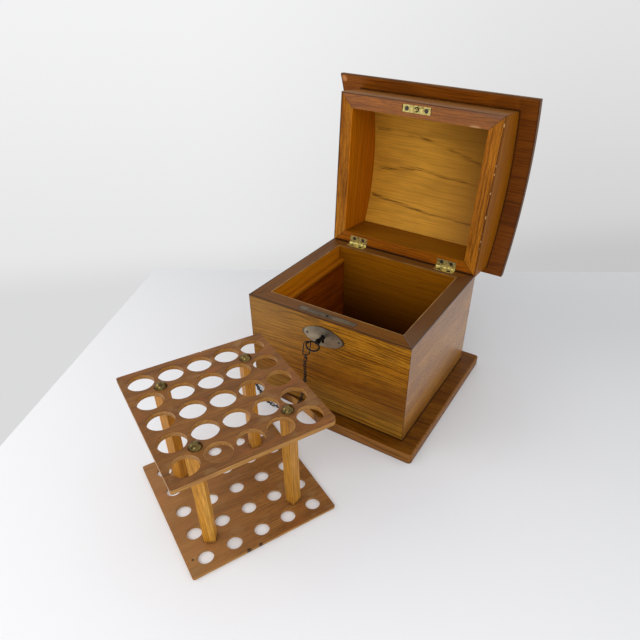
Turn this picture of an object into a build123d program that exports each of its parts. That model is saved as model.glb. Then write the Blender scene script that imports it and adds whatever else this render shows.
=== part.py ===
from build123d import *
from math import cos, hypot, pi, radians, sin, sqrt, tan
import os

os.makedirs("parts", exist_ok=True)

# The box stands on its base board. Origin: centre of the base board's
# underside, +X to the right, +Y to the back, +Z up, all in millimetres.

# Box body
box_width = 200.0
box_depth = 182.0
wall_height = 124.0
wall_thick = 18.0
base_thick = 12.0
base_side_ledge = 19.0
base_front_ledge = 17.0
base_back_ledge = 17.0
base_corner_radius = 4.0
base_edge_radius = 1.5
# The front left corner of the base board has split off. Points of the break, right of the
# box's left face, and as a share of the front ledge in front of the box's front face.
break_line = (
    (94.7, 0.80),
    (68.0, 0.27),
    (52.0, 0.08),
    (33.0, 0.0),
    (15.0, -0.12),
    (6.0, -0.36),
    (-4.0, -0.80),
)
break_start = 101.0
break_end_share = -1.25
liner_thick = 8.0
liner_below_rim = 18.0
liner_rebate = 1.6
liner_end_gap = 0.2

# Lid, drawn closed and then opened about the hinge pins
lid_wall_thick = 16.5
lid_wall_height = 48.0
lid_arch_radius = 220.0
top_board_thick = 9.0
top_left_overhang = 26.5
top_right_overhang = 21.5
top_front_overhang = 15.5
top_back_overhang = 9.0
top_edge_radius = 1.8
rim_gap = 0.3
lid_open_angle = 95.0
stop_slack = 2.0

# Two brass butt hinges let into both rims
hinge_inset = 38.0
hinge_length = 25.0
leaf_reach = 10.0
leaf_thick = 1.4
knuckle_radius = 2.0
knuckle_count = 5
knuckle_gap = 0.15
pin_inset = 2.4
pin_radius = 0.9
pin_running_clearance = 0.05
hinge_wood_clearance = 0.3
mortise_clearance = 0.1
hinge_screw_spacing = 12.5
hinge_screw_back = 6.4
hinge_screw_head_radius = 2.4
hinge_screw_shank_radius = 1.1
hinge_screw_length = 9.0
screw_slot_width = 0.5
screw_slot_depth = 0.5

# Mortise lock in the front wall
lock_x = -2.0
lock_from_front = 7.7
keyhole_drop = 22.0
selvedge_length = 70.0
selvedge_width = 8.0
selvedge_thick = 1.6
stud_hole_radius = 1.8
case_length = 44.0
case_below_keyhole = 10.5
case_wall = 1.0
drill_pin_radius = 1.1
drill_pin_into_key = 5.0
keyhole_radius = 3.0
keyhole_slot_width = 3.0
keyhole_slot_reach = 7.6
bolt_travel = 5.0
bolt_thick = 1.2
bolt_web_thick = 1.0
bolt_clearance = 0.3
bolt_left = 4.0
bolt_right = 17.0
fork_half_width = 2.6
fork_slot_half_width = 1.1
fork_tip_gap = 0.5
talon_left_face = 3.4
talon_right_face = 7.8
talon_lug_width = 4.0
talon_top = 3.6
talon_bottom = 6.6

# Strike plate with its stud, let into the lid's front rim
strike_length = 34.0
strike_width = 8.0
strike_end_gap = 0.9
strike_thick = 1.6
strike_recess = 0.4
strike_screw_spacing = 24.0
strike_screw_head_radius = 2.6
strike_screw_shank_radius = 1.3
strike_screw_length = 10.0
stud_head_radius = 1.4
stud_neck_radius = 0.8
stud_head_thick = 0.8
stud_groove_outer_radius = 2.9
stud_groove_inner_radius = 1.7
stud_groove_depth = 0.6

# Escutcheon and key
escutcheon_length = 56.0
escutcheon_height = 24.0
escutcheon_thick = 1.2
escutcheon_tip_radius = 4.0
escutcheon_pin_spacing = 40.0
escutcheon_pin_radius = 0.9
escutcheon_pin_head_radius = 1.5
escutcheon_pin_head_height = 0.6
escutcheon_pin_length = 4.4
key_turned = 73.0
key_shaft_radius = 2.2
key_end_gap = 0.4
key_bit_reach = 6.6
key_bit_thick = 2.0
key_bit_width = 3.6
key_bit_from_end = 0.2
key_ward_cut = 1.2
key_bow_radius = 6.9
key_bow_wire_radius = 0.9
key_bow_from_wall = 20.5
key_collar_radius = 3.0
key_collar_width = 1.6
key_collar_from_bow = 9.5

# Chain from the key's bow to the ground in front of the box
key_link_length = 20.0
key_link_width = 8.4
key_link_wire = 1.2
key_link_lean = 8.0
link_inner_length = 4.8
link_inner_width = 2.1
link_wire = 1.0
link_pitch = 4.6
link_hang_gap = 0.15
link_roll = 45.0
wire_sides = 6
bow_sides = 8
link_end_steps = 4
bow_half_steps = 12
chain_lying_height = 1.7
# Points of the hanging chain: left of the bow's wire, behind it, and share of its height
chain_drop = ((4.6, 0.6, 0.73), (6.5, 3.5, 0.62), (9.8, 6.5, 0.49), (17.9, 12.0, 0.245))
# Points of the chain beside the break: right of the box's left face, share of the front ledge
chain_beside_break = ((69.0, 0.44), (64.0, 0.50))
chain_on_ground = (
    (57.5, 0.65),
    (48.0, 0.88),
    (37.0, 1.0),
    (26.4, 0.88),
    (18.0, 0.64),
    (10.0, 0.38),
    (3.0, 0.15),
    (-6.0, -0.22),
    (-15.0, -0.58),
    (-24.0, -0.85),
)

# Rack: two drilled boards on four posts, standing in front of the box
rack_x = -19.0
rack_y = -229.3
rack_turn = 63.3
rack_short = 144.5
rack_long = 154.5
rack_upper_thick = 5.0
rack_lower_thick = 3.0
rack_lower_near_trim = 3.3
rack_height = 122.0
rack_corner_radius = 2.0
rack_worn_corner_radius = 6.0
nick_from_middle = 8.3
nick_width = 2.6
nick_depth = 1.4
rack_holes = 5
hole_pitch_short = 27.5
hole_pitch_long = 29.5
upper_hole_radius = 12.0
lower_hole_radius = 7.25
post_side = 10.5
post_pitches_apart = 3
# The posts were set by hand: each one's own turn, and how far the near one stands off
post_turns = {"near": -29.0, "right": 20.0, "far": 0.0, "left": 28.5}
near_post_shift = (-2.6, 1.8)
dome_radius = 6.0
dome_height = 4.6
nail_radius = 1.0
nail_length = 14.0
foot_screw_head_radius = 3.0
foot_screw_shank_radius = 1.5
foot_screw_length = 18.0

# Screws up through the base board into the front and back walls
base_screw_inset = 40.0
base_screw_head_radius = 4.0
base_screw_shank_radius = 2.0
base_screw_length = 36.0

# Places worked out from the sizes
beyond = 1.0
rim_z = base_thick + wall_height
lid_z = rim_z + rim_gap
front_y = -box_depth / 2
back_y = box_depth / 2
pin_y = back_y - pin_inset
pin_z = rim_z + rim_gap / 2
lock_y = front_y + lock_from_front
keyhole_z = rim_z - keyhole_drop
arch_centre_z = lid_z + lid_wall_height - sqrt(lid_arch_radius**2 - (box_depth / 2) ** 2)
case_top_z = rim_z - selvedge_thick
case_bottom_z = keyhole_z - case_below_keyhole
case_front_y = lock_y - selvedge_width / 2
case_back_y = lock_y + selvedge_width / 2
bolt_top_z = case_top_z - bolt_clearance
web_back_y = case_back_y - case_wall - bolt_clearance
web_front_y = web_back_y - bolt_web_thick
key_end_y = web_front_y - key_end_gap
bow_y = front_y - key_bow_from_wall
rack_place = Pos(rack_x, rack_y, 0) * Rot(0, 0, rack_turn)

SIDES = ("front", "right", "back", "left")


def block(x_low, x_high, y_low, y_high, z_low, z_high):
    """A rectangular block between six planes."""
    size = Box(x_high - x_low, y_high - y_low, z_high - z_low)
    return Pos((x_low + x_high) / 2, (y_low + y_high) / 2, (z_low + z_high) / 2) * size


def rod_along_x(radius, x_low, x_high, y, z):
    rod = Rot(0, 90, 0) * Cylinder(radius, x_high - x_low)
    return Pos((x_low + x_high) / 2, y, z) * rod


def rod_along_y(radius, y_low, y_high, x, z):
    rod = Rot(90, 0, 0) * Cylinder(radius, y_high - y_low)
    return Pos(x, (y_low + y_high) / 2, z) * rod


def mitred_wall(side, width, depth, thick, height):
    """One wall of a four-sided frame, its ends cut to meet the next walls."""
    half_w = width / 2
    half_d = depth / 2
    outer = [(-half_w, -half_d), (half_w, -half_d), (half_w, half_d), (-half_w, half_d)]
    in_w = half_w - thick
    in_d = half_d - thick
    inner = [(-in_w, -in_d), (in_w, -in_d), (in_w, in_d), (-in_w, in_d)]
    here = SIDES.index(side)
    there = (here + 1) % len(SIDES)
    outline = Polyline(outer[here], outer[there], inner[there], inner[here], close=True)
    return extrude(make_face(outline), amount=height, dir=(0, 0, 1))


def screw_blank(head_radius, shank_radius, length):
    """A countersunk screw with its head up at z = 0 and no slot."""
    head_depth = head_radius - shank_radius
    head = Pos(0, 0, -head_depth / 2) * Cone(shank_radius, head_radius, head_depth)
    shank_length = length - head_depth
    shank = Pos(0, 0, -head_depth - shank_length / 2) * Cylinder(shank_radius, shank_length)
    return head + shank


def slotted(blank, head_radius):
    slot = Box(2 * head_radius + beyond, screw_slot_width, 2 * screw_slot_depth)
    return blank - slot


def write(name, solids):
    """One STEP file holds the solids of one node."""
    solids = solids if isinstance(solids, list) else [solids]
    pieces = [piece for group in solids for piece in group.solids()]
    shape = pieces[0] if len(pieces) == 1 else Compound(children=pieces)
    export_step(shape, f"parts/{name}.step")


def opened(shape):
    """Turn a lid piece from closed to open about the hinge pins."""
    return Pos(0, pin_y, pin_z) * Rot(-lid_open_angle, 0, 0) * Pos(0, -pin_y, -pin_z) * shape


# Base board

def beside_break(along, share):
    """Place near the broken corner: x from the left face, y by share of the ledge."""
    return -box_width / 2 + along, front_y - share * base_front_ledge


def broken_corner():
    """The piece that has split off the front left corner of the base board."""
    front = front_y - base_front_ledge - beyond
    left = -box_width / 2 - base_side_ledge - beyond
    points = [beside_break(*point) for point in break_line]
    start = (-box_width / 2 + break_start, front)
    end = (left, front_y - break_end_share * base_front_ledge)
    outline = Polyline(start, *points, end, (left, front), close=True)
    return extrude(make_face(outline), amount=base_thick + beyond, dir=(0, 0, 1), both=True)


def base_board():
    width = box_width + 2 * base_side_ledge
    depth = box_depth + base_front_ledge + base_back_ledge
    shift = (base_back_ledge - base_front_ledge) / 2
    board = Pos(0, shift, base_thick / 2) * Box(width, depth, base_thick)
    board = fillet(board.edges().filter_by(Axis.Z), base_corner_radius)
    board = fillet(board.faces().sort_by(Axis.Z)[-1].edges(), base_edge_radius)
    return board - broken_corner()


def base_screw_places():
    inset = wall_thick / 2
    right = box_width / 2 - base_screw_inset
    ys = (front_y + inset, back_y - inset)
    return [Pos(x, y, 0) * Rot(180, 0, 0) for x in (-right, right) for y in ys]


def base_screw_blanks():
    blank = screw_blank(base_screw_head_radius, base_screw_shank_radius, base_screw_length)
    return [place * blank for place in base_screw_places()]


def base_screws():
    blank = screw_blank(base_screw_head_radius, base_screw_shank_radius, base_screw_length)
    screw = slotted(blank, base_screw_head_radius)
    return [place * screw for place in base_screw_places()]


# Body walls

def hinge_centres():
    right = box_width / 2 - hinge_inset
    return (-right, right)


def back_bevel(direction):
    """The strip behind the pins that lets the lid open and then stops it."""
    angle = radians((lid_open_angle + stop_slack) / 2)
    run = pin_inset + beyond
    drop = direction * run * tan(angle)
    outline = Polyline((pin_y, pin_z), (pin_y + run, pin_z), (pin_y + run, pin_z + drop), close=True)
    face = Plane.YZ * make_face(outline)
    return extrude(face, amount=box_width / 2 + beyond, both=True)


def hinge_mortises(direction):
    """Room for a leaf in the rim and for the knuckles at the back edge."""
    half = hinge_length / 2 + mortise_clearance
    face_z = pin_z + direction * rim_gap / 2
    floor_z = face_z + direction * leaf_thick
    cuts = []
    for x in hinge_centres():
        y_low = pin_y - leaf_reach - mortise_clearance
        cuts.append(block(x - half, x + half, y_low, pin_y, min(face_z, floor_z), max(face_z, floor_z)))
        relief = knuckle_radius + hinge_wood_clearance
        cuts.append(rod_along_x(relief, x - half, x + half, pin_y, pin_z))
    return cuts


def body_wall(side):
    wall = Pos(0, 0, base_thick) * mitred_wall(side, box_width, box_depth, wall_thick, wall_height)
    if side != "front":
        wall -= back_bevel(-1)
    if side == "back":
        wall -= hinge_mortises(-1)
        wall -= body_hinge_screw_blanks()
    if side in ("front", "back"):
        wall -= base_screw_blanks()
    if side == "front":
        wall -= lock_pocket()
        wall -= keyhole_cut()
        wall -= escutcheon_pin_blanks()
    return wall


def side_liner():
    """Board standing against the left wall, with a rebate along its top."""
    left = -box_width / 2 + wall_thick
    top = rim_z - liner_below_rim
    half = box_depth / 2 - wall_thick - liner_end_gap
    board = block(left, left + liner_thick, -half, half, base_thick, top)
    rebate = block(left - beyond, left + liner_rebate, -half - beyond, half + beyond, top - liner_rebate, top + beyond)
    return board - rebate


# Lid

def below_arch():
    """Everything under the curve that the top board is bent over."""
    half = box_width / 2 + beyond
    return rod_along_x(lid_arch_radius, -half, half, 0, arch_centre_z)


def lid_wall(side):
    tall = lid_wall_height + lid_arch_radius - sqrt(lid_arch_radius**2 - (box_depth / 2) ** 2)
    wall = Pos(0, 0, lid_z) * mitred_wall(side, box_width, box_depth, lid_wall_thick, tall)
    wall = wall & below_arch()
    if side != "front":
        wall -= back_bevel(1)
    if side == "back":
        wall -= hinge_mortises(1)
        wall -= lid_hinge_screw_blanks()
    if side == "front":
        wall -= strike_mortise()
        wall -= strike_screw_blanks()
    return opened(wall)


def lid_top_board():
    """Board bent front to back, wider than the lid on all four sides."""
    outer_radius = lid_arch_radius + top_board_thick
    front = front_y - top_front_overhang
    back = back_y + top_back_overhang
    left = -box_width / 2 - top_left_overhang
    width = box_width + top_left_overhang + top_right_overhang
    reach = max(-front, back) + beyond
    low = sqrt(lid_arch_radius**2 - reach**2) - beyond
    ring = Pos(0, arch_centre_z) * (Circle(outer_radius) - Circle(lid_arch_radius))
    middle = (front + back) / 2
    height = outer_radius + beyond - low
    window = Pos(middle, arch_centre_z + low + height / 2) * Rectangle(back - front, height)
    section = ring & window
    section = fillet(section.vertices(), top_edge_radius)
    board = Pos(left, 0, 0) * extrude(Plane.YZ * section, amount=width)
    return opened(board)


# Hinges

def knuckle_span(index):
    """Start and end of one knuckle, measured from the hinge's left end."""
    each = hinge_length / knuckle_count
    return index * each + knuckle_gap / 2, (index + 1) * each - knuckle_gap / 2


def hinge_leaf(x, direction, first_knuckle):
    face_z = pin_z + direction * rim_gap / 2
    floor_z = face_z + direction * leaf_thick
    z_low = min(face_z, floor_z)
    z_high = max(face_z, floor_z)
    left = x - hinge_length / 2
    near_pin = pin_y - knuckle_radius - hinge_wood_clearance
    leaf = block(left, left + hinge_length, pin_y - leaf_reach, near_pin, z_low, z_high)
    for index in range(first_knuckle, knuckle_count, 2):
        start, end = knuckle_span(index)
        leaf += block(left + start, left + end, near_pin, pin_y, z_low, z_high)
        leaf += rod_along_x(knuckle_radius, left + start, left + end, pin_y, pin_z)
    bore = pin_radius + pin_running_clearance
    leaf -= rod_along_x(bore, left - beyond, left + hinge_length + beyond, pin_y, pin_z)
    blanks = body_hinge_screw_blanks() if direction < 0 else lid_hinge_screw_blanks()
    return leaf - blanks


def hinge_pins():
    half = hinge_length / 2
    return [rod_along_x(pin_radius, x - half, x + half, pin_y, pin_z) for x in hinge_centres()]


def hinge_screw_places(direction):
    face_z = pin_z + direction * rim_gap / 2
    turn = Rot(180, 0, 0) if direction > 0 else Rot(0, 0, 0)
    y = pin_y - hinge_screw_back
    offsets = (-hinge_screw_spacing / 2, hinge_screw_spacing / 2)
    return [Pos(x + offset, y, face_z) * turn for x in hinge_centres() for offset in offsets]


def hinge_screw_blank():
    return screw_blank(hinge_screw_head_radius, hinge_screw_shank_radius, hinge_screw_length)


def body_hinge_screw_blanks():
    return [place * hinge_screw_blank() for place in hinge_screw_places(-1)]


def lid_hinge_screw_blanks():
    return [place * hinge_screw_blank() for place in hinge_screw_places(1)]


def body_hinge_screws():
    screw = slotted(hinge_screw_blank(), hinge_screw_head_radius)
    return [place * screw for place in hinge_screw_places(-1)]


def lid_hinge_screws():
    screw = slotted(hinge_screw_blank(), hinge_screw_head_radius)
    return [opened(place * screw) for place in hinge_screw_places(1)]


# Lock

def lock_pocket():
    """Shallow step for the selvedge and the deep mortise under it."""
    half_l = selvedge_length / 2 + mortise_clearance
    half_w = selvedge_width / 2 + mortise_clearance
    step = block(lock_x - half_l, lock_x + half_l, lock_y - half_w, lock_y + half_w, case_top_z, rim_z)
    half_c = case_length / 2 + mortise_clearance
    low = case_bottom_z - mortise_clearance
    deep = block(lock_x - half_c, lock_x + half_c, lock_y - half_w, lock_y + half_w, low, case_top_z)
    return [step, deep]


def keyhole_cut():
    """Round hole with a slot under it, from the front to inside the case."""
    outline = Circle(keyhole_radius)
    slot_height = keyhole_slot_reach
    outline += Pos(0, -slot_height / 2) * Rectangle(keyhole_slot_width, slot_height)
    inner_y = case_front_y + case_wall
    outer_y = front_y - escutcheon_thick - beyond
    plane = Plane(origin=(lock_x, inner_y, keyhole_z), x_dir=(1, 0, 0), z_dir=(0, -1, 0))
    return extrude(plane * outline, amount=inner_y - outer_y)


def lock_selvedge():
    half_l = selvedge_length / 2
    half_w = selvedge_width / 2
    strip = block(lock_x - half_l, lock_x + half_l, lock_y - half_w, lock_y + half_w, case_top_z, rim_z)
    return strip - Pos(lock_x, lock_y, rim_z) * Cylinder(stud_hole_radius, 4 * selvedge_thick)


def lock_case():
    """Steel box under the selvedge, with the pin that the key fits over."""
    half = case_length / 2
    case = block(lock_x - half, lock_x + half, case_front_y, case_back_y, case_bottom_z, case_top_z)
    cavity = block(
        lock_x - half + case_wall,
        lock_x + half - case_wall,
        case_front_y + case_wall,
        case_back_y - case_wall,
        case_bottom_z + case_wall,
        case_top_z + beyond,
    )
    case = case - cavity - keyhole_cut()
    pin_tip_y = key_end_y - drill_pin_into_key
    return case + rod_along_y(drill_pin_radius, pin_tip_y, case_back_y, lock_x, keyhole_z)


def lock_bolt():
    """Fork that closes round the stud, on a web with a talon for the key."""
    fork_left = lock_x + stud_head_radius + fork_tip_gap
    right = lock_x + bolt_right
    left = lock_x - bolt_left
    low = bolt_top_z - bolt_thick
    fork = block(fork_left, right, lock_y - fork_half_width, web_back_y, low, bolt_top_z)
    slot_end = lock_x + bolt_travel
    slot_half = fork_slot_half_width
    fork -= block(fork_left - beyond, slot_end, lock_y - slot_half, lock_y + slot_half, low, bolt_top_z)
    fork -= Pos(slot_end, lock_y, low + bolt_thick / 2) * Cylinder(slot_half, bolt_thick)
    web = block(left, right, web_front_y, web_back_y, keyhole_z - talon_bottom, bolt_top_z)
    pin_room = drill_pin_radius + bolt_clearance
    web -= block(
        lock_x - pin_room,
        lock_x + bolt_travel + pin_room,
        web_front_y,
        web_back_y,
        keyhole_z - pin_room,
        keyhole_z + pin_room,
    )
    bolt = fork + web
    lug_front_y = case_front_y + case_wall + 2 * bolt_clearance
    lug_low = keyhole_z - talon_bottom
    lug_high = keyhole_z - talon_top
    left_face = lock_x + talon_left_face
    right_face = lock_x + talon_right_face
    bolt += block(left_face - talon_lug_width, left_face, lug_front_y, web_back_y, lug_low, lug_high)
    bolt += block(right_face, right_face + talon_lug_width, lug_front_y, web_back_y, lug_low, lug_high)
    return bolt


# Strike plate

def strike_mortise():
    half_l = strike_length / 2 + strike_end_gap
    half_w = strike_width / 2 + mortise_clearance
    high = lid_z + strike_recess + strike_thick
    return block(lock_x - half_l, lock_x + half_l, lock_y - half_w, lock_y + half_w, lid_z, high)


def strike_screw_places():
    face_z = lid_z + strike_recess
    offsets = (-strike_screw_spacing / 2, strike_screw_spacing / 2)
    return [Pos(lock_x + offset, lock_y, face_z) * Rot(180, 0, 0) for offset in offsets]


def strike_screw_blank():
    return screw_blank(strike_screw_head_radius, strike_screw_shank_radius, strike_screw_length)


def strike_screw_blanks():
    return [place * strike_screw_blank() for place in strike_screw_places()]


def strike_plate():
    """Brass plate with the headed stud that the lock's fork holds."""
    half_l = strike_length / 2
    half_w = strike_width / 2
    low = lid_z + strike_recess
    plate = block(lock_x - half_l, lock_x + half_l, lock_y - half_w, lock_y + half_w, low, low + strike_thick)
    plate -= strike_screw_blanks()
    groove = Circle(stud_groove_outer_radius) - Circle(stud_groove_inner_radius)
    plate -= Pos(lock_x, lock_y, low) * extrude(groove, amount=stud_groove_depth)
    head_high = bolt_top_z - bolt_thick - bolt_clearance
    head_low = head_high - stud_head_thick
    neck = Cylinder(stud_neck_radius, low - head_high)
    head = Cylinder(stud_head_radius, stud_head_thick)
    plate += Pos(lock_x, lock_y, (low + head_high) / 2) * neck
    plate += Pos(lock_x, lock_y, (head_high + head_low) / 2) * head
    return opened(plate)


def strike_screws():
    screw = slotted(strike_screw_blank(), strike_screw_head_radius)
    return [opened(place * screw) for place in strike_screw_places()]


# Escutcheon

def front_plane(x, z):
    """Plane on the box's front face, looking outwards."""
    return Plane(origin=(x, front_y, z), x_dir=(1, 0, 0), z_dir=(0, -1, 0))


def escutcheon_pin_places():
    offsets = (-escutcheon_pin_spacing / 2, escutcheon_pin_spacing / 2)
    return [front_plane(lock_x + offset, keyhole_z) for offset in offsets]


def escutcheon_pin_blanks():
    middle = escutcheon_thick - escutcheon_pin_length / 2
    shank = Pos(0, 0, middle) * Cylinder(escutcheon_pin_radius, escutcheon_pin_length)
    return [place * shank for place in escutcheon_pin_places()]


def dome(radius, height):
    """Cap of a sphere, flat side down at z = 0."""
    ball_radius = (radius**2 + height**2) / (2 * height)
    ball = Pos(0, 0, height - ball_radius) * Sphere(ball_radius)
    return ball & Pos(0, 0, ball_radius) * Box(4 * ball_radius, 4 * ball_radius, 2 * ball_radius)


def escutcheon_pins():
    head = Pos(0, 0, escutcheon_thick) * dome(escutcheon_pin_head_radius, escutcheon_pin_head_height)
    pins = []
    for place, shank in zip(escutcheon_pin_places(), escutcheon_pin_blanks()):
        pins.append(shank + place * head)
    return pins


def escutcheon():
    half_l = escutcheon_length / 2
    half_h = escutcheon_height / 2
    upper = ThreePointArc((-half_l, 0), (0, half_h), (half_l, 0))
    lower = ThreePointArc((half_l, 0), (0, -half_h), (-half_l, 0))
    outline = make_face(upper + lower)
    outline = fillet(outline.vertices(), escutcheon_tip_radius)
    plate = front_plane(lock_x, keyhole_z) * extrude(outline, amount=escutcheon_thick)
    plate = plate - keyhole_cut()
    return plate - escutcheon_pin_blanks()


# Key and chain

def key():
    """Pipe key with a ring bow, drawn with its bit down and then turned."""
    ring = wire_loop(0, key_bow_radius, key_bow_wire_radius, bow_sides, bow_half_steps)
    bow = Pos(0, bow_y, 0) * Rot(0, 90, 0) * ring
    shaft = rod_along_y(key_shaft_radius, bow_y + key_bow_radius, key_end_y, 0, 0)
    collar_y = bow_y + key_collar_from_bow
    collar = rod_along_y(key_collar_radius, collar_y, collar_y + key_collar_width, 0, 0)
    bit_high_y = key_end_y - key_bit_from_end
    bit_low_y = bit_high_y - key_bit_width
    half = key_bit_thick / 2
    bit = block(-half, half, bit_low_y, bit_high_y, -key_bit_reach, 0)
    ward_y = (bit_low_y + bit_high_y) / 2
    ward_top = -key_shaft_radius - key_ward_cut
    bit -= block(-beyond, beyond, ward_y, ward_y + key_ward_cut / 2, -key_bit_reach, ward_top)
    blank = bow + shaft + collar + bit
    bore_radius = drill_pin_radius + pin_running_clearance
    bore_low_y = key_end_y - drill_pin_into_key - key_end_gap
    blank -= rod_along_y(bore_radius, bore_low_y, key_end_y + beyond, 0, 0)
    return Pos(lock_x, 0, keyhole_z) * Rot(0, -key_turned, 0) * blank


def bow_side():
    """Middle of the bow's wire on the side away from the key's bit."""
    turned = radians(key_turned)
    x = lock_x - key_bow_radius * sin(turned)
    z = keyhole_z + key_bow_radius * cos(turned)
    return x, bow_y, z


def wire_loop(half_straight, end_radius, wire_radius, sides, end_steps):
    """Closed loop of faceted wire with two straight sides and two half-round ends."""
    step = 180 / end_steps
    strands = []
    for side in range(sides):
        turn = 2 * pi * side / sides
        reach = (end_radius + wire_radius * cos(turn)) / cos(radians(step / 2))
        height = wire_radius * sin(turn)
        strand = []
        for corner in range(2 * end_steps):
            angle = radians((corner + 0.5) * step - 90)
            shift = half_straight if corner < end_steps else -half_straight
            strand.append((shift + reach * cos(angle), reach * sin(angle), height))
        strands.append(strand)
    faces = []
    for side in range(sides):
        here, there = strands[side], strands[(side + 1) % sides]
        for corner in range(2 * end_steps):
            after = (corner + 1) % (2 * end_steps)
            outline = Polyline(here[corner], here[after], there[after], there[corner], close=True)
            faces.append(make_face(outline).face())
    return Solid(Shell(faces))


def chain_link(inner_length, inner_width, wire):
    """Welded link, long axis along X."""
    radius = (inner_width + wire) / 2
    half = (inner_length - inner_width) / 2
    return wire_loop(half, radius, wire / 2, wire_sides, link_end_steps)


def long_link_hang():
    """Direction in which the long link hangs, and the upper side of its lower end."""
    lean = radians(key_link_lean)
    direction = Vector(-sin(lean), 0, -cos(lean))
    reach = key_link_length - 2 * key_link_wire - key_bow_wire_radius - link_hang_gap
    return direction, Vector(*bow_side()) + direction * reach


def key_link():
    """Long link through the bow, hanging down from it."""
    inner_length = key_link_length - 2 * key_link_wire
    inner_width = key_link_width - 2 * key_link_wire
    direction, lower_end = long_link_hang()
    level = direction.cross(Vector(0, 1, 0))
    roll = radians(link_roll)
    normal = level * sin(roll) - Vector(0, 1, 0) * cos(roll)
    place = Plane(origin=lower_end - direction * inner_length / 2, x_dir=direction, z_dir=normal)
    return place * chain_link(inner_length, inner_width, key_link_wire)


def chain_route():
    """Down from the long link, past the broken corner, then along the ground."""
    x, y, z = bow_side()
    direction, lower_end = long_link_hang()
    first = lower_end + direction * (link_inner_length / 2 - link_hang_gap)
    points = [tuple(first), tuple(first + direction * link_pitch)]
    points += [(x - left, y + behind, z * share) for left, behind, share in chain_drop]
    over_board = base_thick + 2 * link_wire + link_inner_width
    for place, height in zip(chain_beside_break, (over_board, base_thick / 2)):
        points.append((*beside_break(*place), height))
    points += [(*beside_break(*place), chain_lying_height) for place in chain_on_ground]
    return Spline(*points)


def chain_places():
    """A plane for each link: X along the chain, turned 90 degrees each time."""
    route = chain_route()
    places = []
    for number in range(int(route.length / link_pitch)):
        along = number * link_pitch
        point = route.position_at(along, position_mode=PositionMode.LENGTH)
        run = route.tangent_at(along, position_mode=PositionMode.LENGTH)
        level = hypot(run.X, run.Y)
        side = Vector(-run.Y / level, run.X / level, 0)
        over = run.cross(side)
        roll = radians(-link_roll if number % 2 else link_roll)
        normal = side * cos(roll) + over * sin(roll)
        places.append(Plane(origin=point, x_dir=run, z_dir=normal))
    return places


def key_chain(lying):
    """The links that lie on the ground, or the ones that hang."""
    link = chain_link(link_inner_length, link_inner_width, link_wire)
    limit = chain_lying_height + link_wire / 4
    return [place * link for place in chain_places() if (place.origin.Z < limit) == lying]


# Rack

def rack_board(z_low, thick, near_trim, hole_radius, worn_corner_radius):
    board = Pos(0, near_trim / 2) * Box(rack_short, rack_long - near_trim, thick)
    corners = board.edges().filter_by(Axis.Z)
    worn_corner = (rack_short / 2, near_trim - rack_long / 2, 0)
    worn = corners.sort_by_distance(worn_corner)[0]
    board = fillet([corner for corner in corners if corner != worn], rack_corner_radius)
    worn = board.edges().filter_by(Axis.Z).sort_by_distance(worn_corner)[0]
    board = fillet(worn, worn_corner_radius)
    grid = GridLocations(hole_pitch_short, hole_pitch_long, rack_holes, rack_holes)
    hole = Cylinder(hole_radius, thick + beyond)
    board -= [place * hole for place in grid]
    return Pos(0, 0, z_low + thick / 2) * board


def nail_places():
    return GridLocations(post_pitches_apart * hole_pitch_short, post_pitches_apart * hole_pitch_long, 2, 2)


def post_places():
    x = post_pitches_apart * hole_pitch_short / 2
    y = post_pitches_apart * hole_pitch_long / 2
    near = Pos(near_post_shift[0] - x, near_post_shift[1] - y, 0)
    return {"near": near, "right": Pos(x, -y, 0), "far": Pos(x, y, 0), "left": Pos(-x, y, 0)}


def nail_blanks():
    shank = Pos(0, 0, rack_height - nail_length / 2) * Cylinder(nail_radius, nail_length)
    return [place * shank for place in nail_places()]


def rack_dome_nails():
    head = Pos(0, 0, rack_height) * dome(dome_radius, dome_height)
    nails = []
    for place, shank in zip(nail_places(), nail_blanks()):
        nails.append(rack_place * (shank + place * head))
    return nails


def foot_screw_blank():
    return screw_blank(foot_screw_head_radius, foot_screw_shank_radius, foot_screw_length)


def foot_screw_blanks():
    return [place * Rot(180, 0, 0) * foot_screw_blank() for place in post_places().values()]


def rack_foot_screws():
    screw = slotted(foot_screw_blank(), foot_screw_head_radius)
    return [rack_place * place * Rot(180, 0, 0) * screw for place in post_places().values()]


def edge_nick():
    """Small bite out of the upper board's edge."""
    edge = rack_long / 2
    half = nick_width / 2
    middle = nick_from_middle
    outline = Polyline((middle - half, edge + beyond), (middle, edge - nick_depth), (middle + half, edge + beyond), close=True)
    low = rack_height - rack_upper_thick - beyond
    return Pos(0, 0, low) * extrude(make_face(outline), amount=rack_upper_thick + 2 * beyond, dir=(0, 0, 1))


def rack_upper_plate():
    low = rack_height - rack_upper_thick
    board = rack_board(low, rack_upper_thick, 0, upper_hole_radius, rack_worn_corner_radius)
    return rack_place * (board - nail_blanks() - edge_nick())


def rack_lower_plate():
    board = rack_board(0, rack_lower_thick, rack_lower_near_trim, lower_hole_radius, rack_corner_radius)
    return rack_place * (board - foot_screw_blanks())


def rack_post(name):
    length = rack_height - rack_upper_thick - rack_lower_thick
    post = Pos(0, 0, rack_lower_thick + length / 2) * Box(post_side, post_side, length)
    post = post_places()[name] * Rot(0, 0, post_turns[name]) * post
    post = post - nail_blanks() - foot_screw_blanks()
    return rack_place * post


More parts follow.
